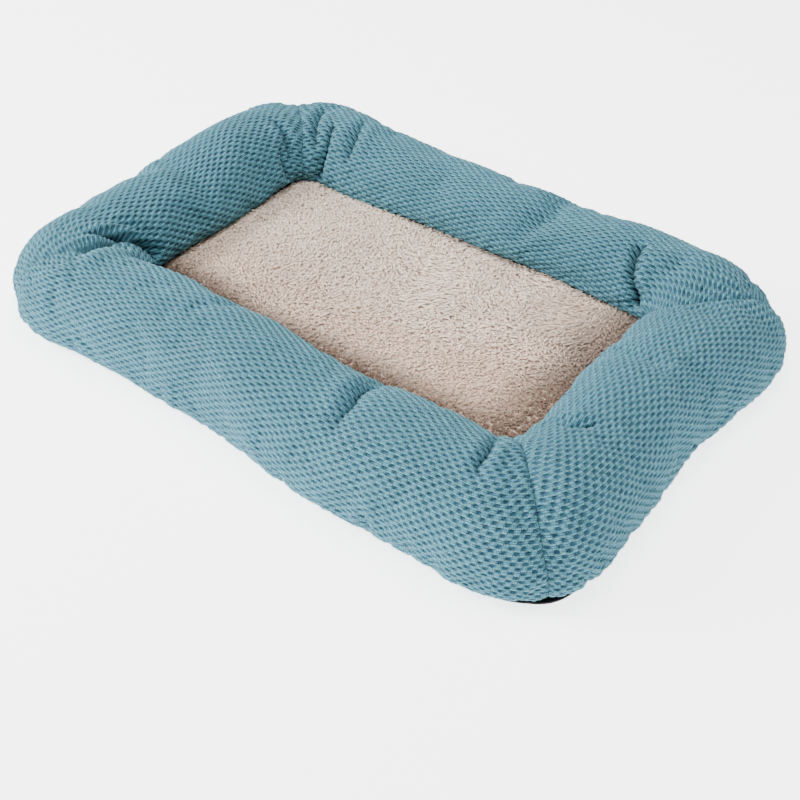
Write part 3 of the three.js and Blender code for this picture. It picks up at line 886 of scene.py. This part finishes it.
backing = disc("fleece_panel", WELL[::3], ground, lambda x, y: ground(x, y) - 2.4, 70)
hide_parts("sleeping_panel")
backing.data.materials.append(fleece_material(False))
pad = slab("pad_fill_soft", 90, 56, WELL_X - 1.5, WELL_Y - 1.5, CORNER, lambda x, y: ground(x, y) - 2.8,
           lambda x, y: 2.6 + 2.2 * smooth(1 - np.minimum(WELL_X - np.abs(x), WELL_Y - np.abs(y)) / 16.0) + 0 * x)
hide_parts("pad_fill")
pad.data.materials.append(fabric_material("fill_wadding", lin(214, 214, 212), lin(240, 240, 238)))


def swirl(x, y):
    """The direction the pile lies in."""
    a = 1.15 * np.sin(x / 41.0 + 1.3 * np.sin(y / 37.0 + 0.6)) + 1.0 * np.sin(y / 29.0 + 1.7 * np.sin(x / 53.0)) + 0.8 * np.sin((x + y) / 21.0 + 2.0 * np.sin((x - y) / 47.0))
    return -0.93 + a * (0.20 + 0.70 * smooth((x + 90) / 230.0))


def pile(count, seed):
    r = np.random.default_rng(seed)
    # spread evenly on a jittered grid
    nx = int(math.sqrt(count * WELL_X / WELL_Y))
    ny = int(count / nx)
    gx, gy = np.meshgrid((np.arange(nx) + 0.5) / nx, (np.arange(ny) + 0.5) / ny)
    n = nx * ny          # some fall outside the sewn edge and are left out
    u = (gx.ravel() + r.uniform(-0.6, 0.6, n) / nx) * 2 - 1
    v = (gy.ravel() + r.uniform(-0.6, 0.6, n) / ny) * 2 - 1
    x, y = u * 202, v * 125
    ok = np.hypot(x, y) < well_radius(x, y) - 0.2
    x, y = x[ok], y[ok]
    n = len(x)
    curly = smooth((x + 120) / 200.0) * smooth((40 - y) / 90.0)      # combed flat by the back corner, curlier nearer
    ang = swirl(x, y) + r.normal(0, 1, n) * (0.32 + 1.5 * curly)
    length = r.uniform(3.4, 7.2, n) * (1 - 0.34 * curly)
    width = r.uniform(1.05, 1.8, n)
    tilt = r.uniform(0.05, 0.7, n)
    curl = r.normal(0, 0.45, n) * (1 + 1.2 * curly)
    steps = 4
    c, s = np.cos(ang), np.sin(ang)
    pts, tips = [], []
    px, py, pz = x.copy(), y.copy(), ground(x, y) + r.uniform(-0.2, 1.6, n)
    left, right = [], []
    for k in range(steps):
        f = k / (steps - 1)
        a = ang + curl * f
        wid = width * (0.75, 1.0, 0.85, 0.22)[k] * 0.5
        sx, sy = -np.sin(a), np.cos(a)
        roll = 0.3 * np.sin(r.uniform(0, 6.28, n)) if k == 0 else roll
        left.append(np.stack([px + sx * wid, py + sy * wid, pz + roll * wid], 1))
        right.append(np.stack([px - sx * wid, py - sy * wid, pz - roll * wid], 1))
        lift = tilt * (1.0 - 1.55 * f)
        step = length / (steps - 1)
        px, py, pz = px + np.cos(a) * step, py + np.sin(a) * step, pz + lift * step
    p = np.stack(left + right, 1).reshape(-1, 3)          # per lock: steps left, steps right
    idx = np.arange(n)[:, None] * (2 * steps)
    f = []
    for k in range(steps - 1):
        f.append(np.stack([idx[:, 0] + k + steps, idx[:, 0] + k + steps + 1, idx[:, 0] + k + 1, idx[:, 0] + k], 1))
    faces = np.stack(f, 1).reshape(-1, 4)
    tip = np.tile(np.array([0, 0.35, 0.7, 1.0] * 2), n)
    rnd = np.repeat(r.random(n), 2 * steps)
    # painted shade on the pile: the bolsters' shadow under the near long side and by the near short side, a faint slope
    # of it towards both, and a little along the sewn edge
    gap = np.minimum(edge_gap(x, y), 60)
    low = smooth((-y - 56 + 9 * smooth((-x - 80) / 70.0)) / 36.0)          # under the near long side
    near = smooth((x - 126) / 54.0)
    soft = 0.10 * smooth((-y - 5) / 50.0) + 0.08 * smooth((x - 60) / 60.0)
    pile_shade = np.repeat(1 - (1 - low) * (1 - near * 0.95) * (1 - soft) * (1 - 0.35 * (1 - smooth(gap / 4.0))), 2 * steps)
    # painted warm shade towards the near long and short sides
    warm_shade = np.repeat(0.55 * smooth((25 - y) / 75.0) + 0.45 * smooth((x - 50) / 90.0), 2 * steps)
    attr = np.stack([tip, rnd * 0.8 + warm_shade, np.clip(pile_shade, 0, 1)], 1)
    cols = int(math.ceil(math.sqrt(n)))
    cellx, celly = (np.arange(n) % cols) / cols, (np.arange(n) // cols) / cols
    lu = np.tile(np.r_[np.linspace(0.06, 0.94, steps), np.linspace(0.06, 0.94, steps)], n) / cols
    lv = np.tile(np.r_[np.full(steps, 0.9), np.full(steps, 0.1)], n) / cols
    uv = np.stack([np.repeat(cellx, 2 * steps) + lu, np.repeat(celly, 2 * steps) + lv], 1)
    side = np.tile(np.r_[np.ones(steps), -np.ones(steps)], n)
    return p, faces, uv, attr, side


MAT_LOCK = fleece_material(True)
p, f, uv, at, flank = pile(37000, 5)
locks = mesh_of("fleece_pile", p, f, uv, {"lock": at, "side": flank})
locks.data.materials.append(MAT_LOCK)

# ------------------------------------------------------------------ base panel, cut to the bolsters' foot
QF = np.linspace(0, 4, 720, endpoint=False)
FOOT = tube(QF, 0.0)
FOOT_N = np.stack(plan(QF, 42.0)[2:], 1)
peek = 7.5 * np.exp(-(((QF - 1.03 + 2) % 4 - 2) / 0.055) ** 2)   # the base shows a little under the near corner
EDGE = FOOT[:, :2] + FOOT_N * (-3.0 + peek)[:, None]
under = disc("base_panel_cloth", EDGE, lambda x, y: 1.7 + 0 * x, lambda x, y: 0.1 + 0 * x, 26)
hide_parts("base_panel")
under.data.materials.append(fabric_material("base_cloth", lin(20, 17, 19), lin(46, 40, 43), 600.0))


# ------------------------------------------------------------------ sewn seams
def tubes(name, lines, radii, sides=6, closed=False, mat=None):
    """One mesh of short or closed tubes. lines: list of (n, 3) points; radii: list of (n,) radii."""
    ps, fs, uvs, base_i = [], [], [], 0
    for li, (line, rad) in enumerate(zip(lines, radii)):
        n = len(line)
        t = np.gradient(line, axis=0) if not closed else np.roll(line, -1, 0) - np.roll(line, 1, 0)
        t /= np.maximum(np.linalg.norm(t, axis=1, keepdims=True), 1e-9)
        ref = np.where(np.abs(t[:, 2:]) > 0.9, np.array([[1.0, 0, 0]]), np.array([[0, 0, 1.0]]))
        a = np.cross(t, ref)
        a /= np.maximum(np.linalg.norm(a, axis=1, keepdims=True), 1e-9)
        b = np.cross(t, a)
        ang = np.arange(sides) / sides * 2 * math.pi
        ring = line[:, None] + (a[:, None] * np.cos(ang)[None, :, None] + b[:, None] * np.sin(ang)[None, :, None]) * rad[:, None, None]
        ps.append(ring.reshape(-1, 3))
        i, j = np.meshgrid(np.arange(n if closed else n - 1), np.arange(sides), indexing="ij")
        i2, j2 = (i + 1) % n, (j + 1) % sides
        q = np.stack([i * sides + j, i * sides + j2, i2 * sides + j2, i2 * sides + j], -1).reshape(-1, 4) + base_i
        fs.append(q)
        cols = int(math.ceil(math.sqrt(len(lines))))
        cx, cy = (li % cols) / cols, (li // cols) / cols
        fu = np.stack([i / n, (i + 1) / n, (i + 1) / n, i / n], -1).reshape(-1, 4)
        fv = np.stack([j / sides, j / sides, (j + 1) / sides, (j + 1) / sides], -1).reshape(-1, 4)
        uv = np.stack([fu[:, [0, 3, 2, 1]] * 0 + np.stack([i / n, i / n, (i + 1) / n, (i + 1) / n], -1).reshape(-1, 4),
                       np.stack([j / sides, (j + 1) / sides, (j + 1) / sides, j / sides], -1).reshape(-1, 4)], -1)
        uvs.append((uv * 0.96 + 0.02) / cols + np.array([cx, cy]))
        base_i += n * sides
    caps, cuv = [], []
    if not closed:
        start = 0
        for li, line in enumerate(lines):
            n = len(line)
            caps.append([start + k for k in range(sides)][::-1])
            caps.append([start + (n - 1) * sides + k for k in range(sides)])
            start += n * sides
        cuv = np.full((len(caps) * sides, 2), 0.001)
    faces = [np.concatenate(fs)] + ([np.array(caps)] if caps else [])
    uv = np.concatenate([np.concatenate(uvs).reshape(-1, 2)] + ([cuv] if caps else []))
    o = mesh_of(name, np.concatenate(ps), faces, uv)
    if mat:
        o.data.materials.append(mat)
    return o


MAT_THREAD = thread_material()
CORNERS = {1: "front_right", 2: "back_right", 3: "back_left", 0: "front_left"}
for c, cname in CORNERS.items():
    left, right = PANELS[(c - 1) % 4], PANELS[c]
    gl, gr = left["g"], right["g"]
    vs = np.linspace(0, 1, 200)
    a, b = left["p"][gl["ids"][:gl["nv"] + 1, -1]], right["p"][gr["ids"][:gr["nv"] + 1, 0]]
    line = sum(np.stack([np.interp(vs, np.linspace(0, 1, len(e)), e[:, k]) for k in range(3)], 1) for e in (a, b)) / 2
    _, nn = base(seam_q(c, vs), vs)
    line = dense(line + nn * 0.5, 0.7)
    span = lengths(line)
    lines, radii = [], []
    at = 3.0
    while at + 3.2 < span[-1] - 3.0:
        s = np.linspace(at, at + 2.9, 6)
        seg = np.stack([np.interp(s, span, line[:, k]) for k in range(3)], 1)
        lines.append(seg)
        radii.append(0.42 * np.array([0.35, 0.9, 1.0, 1.0, 0.9, 0.35]))
        at += 4.3
    o = tubes("seam_" + cname, lines, radii, 6, mat=MAT_THREAD)
    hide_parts("corner_seam_" + cname)

ring = tube(np.linspace(0, 4, 1500, endpoint=False), 0.0)
rn = np.stack(plan(np.linspace(0, 4, 1500, endpoint=False), 42.0)[2:], 1)
ring[:, :2] -= rn * 2.2
ring[:, 2] = 2.9
phase = np.arange(1500) * 2 * math.pi / 1500 * 420
o = tubes("seam_outer", [ring], [0.95 + 0.18 * np.sin(phase)], 8, closed=True, mat=MAT_THREAD)
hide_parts("outer_seam")
ring = tube(np.linspace(0, 4, 1300, endpoint=False), 1.0)
ring[:, 2] = 28.2 + 0.5 * np.sin(np.arange(1300) * 0.9)
phase = np.arange(1300) * 2 * math.pi / 1300 * 300
o = tubes("seam_inner", [ring], [1.7 + 0.35 * np.sin(phase)], 8, closed=True, mat=fabric_material("seam_binding", lin(34, 26, 26), lin(62, 52, 52), 900.0))
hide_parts("inner_seam")

# ------------------------------------------------------------------ stage
def stage_material():
    m, t, b = new_material("floor_white")
    b.inputs["Base Color"].default_value = (0.95, 0.95, 0.95, 1)
    b.inputs["Roughness"].default_value = 0.9
    b.inputs["Emission Color"].default_value = (1, 1, 1, 1)
    b.inputs["Emission Strength"].default_value = 3.2
    return m


me = bpy.data.meshes.new("floor")
s = 14.0
me.from_pydata([(-s, -s, 0), (s, -s, 0), (s, s, 0), (-s, s, 0)], [], [(0, 1, 2, 3)])
floor = bpy.data.objects.new("floor", me)
bpy.context.scene.collection.objects.link(floor)
me.materials.append(stage_material())

# ------------------------------------------------------------------ camera
AZ, EL, DIST, ROLL = 0.6492680084, 0.6452537855, 1.2608059, 0.01164675
back = Vector((math.sin(AZ) * math.cos(EL), -math.cos(AZ) * math.cos(EL), math.sin(EL)))
xc = Vector((0, 0, 1)).cross(back).normalized()
yc = back.cross(xc)
c, s = math.cos(ROLL), math.sin(ROLL)
xr, yr = xc * c + yc * s, yc * c - xc * s
cam_data = bpy.data.cameras.new("camera")
cam = bpy.data.objects.new("camera", cam_data)
bpy.context.scene.collection.objects.link(cam)
rot = Matrix((xr, yr, back)).transposed().to_4x4()
cam.matrix_world = Matrix.Translation(back * DIST) @ rot
cam_data.sensor_width = 36.0
cam_data.lens = 36.0 * 1450.63726855 / 800.0
cam_data.shift_x = (400 - 391.58379) / 800.0
cam_data.shift_y = -(400 - 330.43225) / 800.0
cam_data.clip_start, cam_data.clip_end = 0.01, 50
cam_data.dof.use_dof = False
bpy.context.scene.camera = cam

# ------------------------------------------------------------------ light
world = bpy.data.worlds.new("studio")
bpy.context.scene.world = world
world.use_nodes = True
wt = world.node_tree
bg = wt.nodes["Background"]
bg.inputs[0].default_value = (1, 1, 1, 1)
wk = Nodes(wt)
across, _, up = wk.split(wt.nodes.new("ShaderNodeTexCoord").outputs["Generated"])
wk.put(bg.inputs[1], wk.math("MULTIPLY", wk.ramp(up, 0.02, 0.30, 2.0, 0.54), wk.ramp(across, 0.1, 0.9, 1.0, 0.55)))



def area(name, loc, target, size, power, colour=(1, 1, 1)):
    d = bpy.data.lights.new(name, "AREA")
    d.shape, d.size, d.size_y, d.energy, d.color = "RECTANGLE", size, size, power, colour
    o = bpy.data.objects.new(name, d)
    bpy.context.scene.collection.objects.link(o)
    o.location = loc
    o.rotation_euler = (Vector(target) - Vector(loc)).to_track_quat("-Z", "Y").to_euler()
    return o


area("key", (-1.6, -1.1, 1.25), (0, 0, 0), 0.8, 97)
area("top", (0.1, 0.15, 2.0), (0, 0, 0), 1.2, 46)
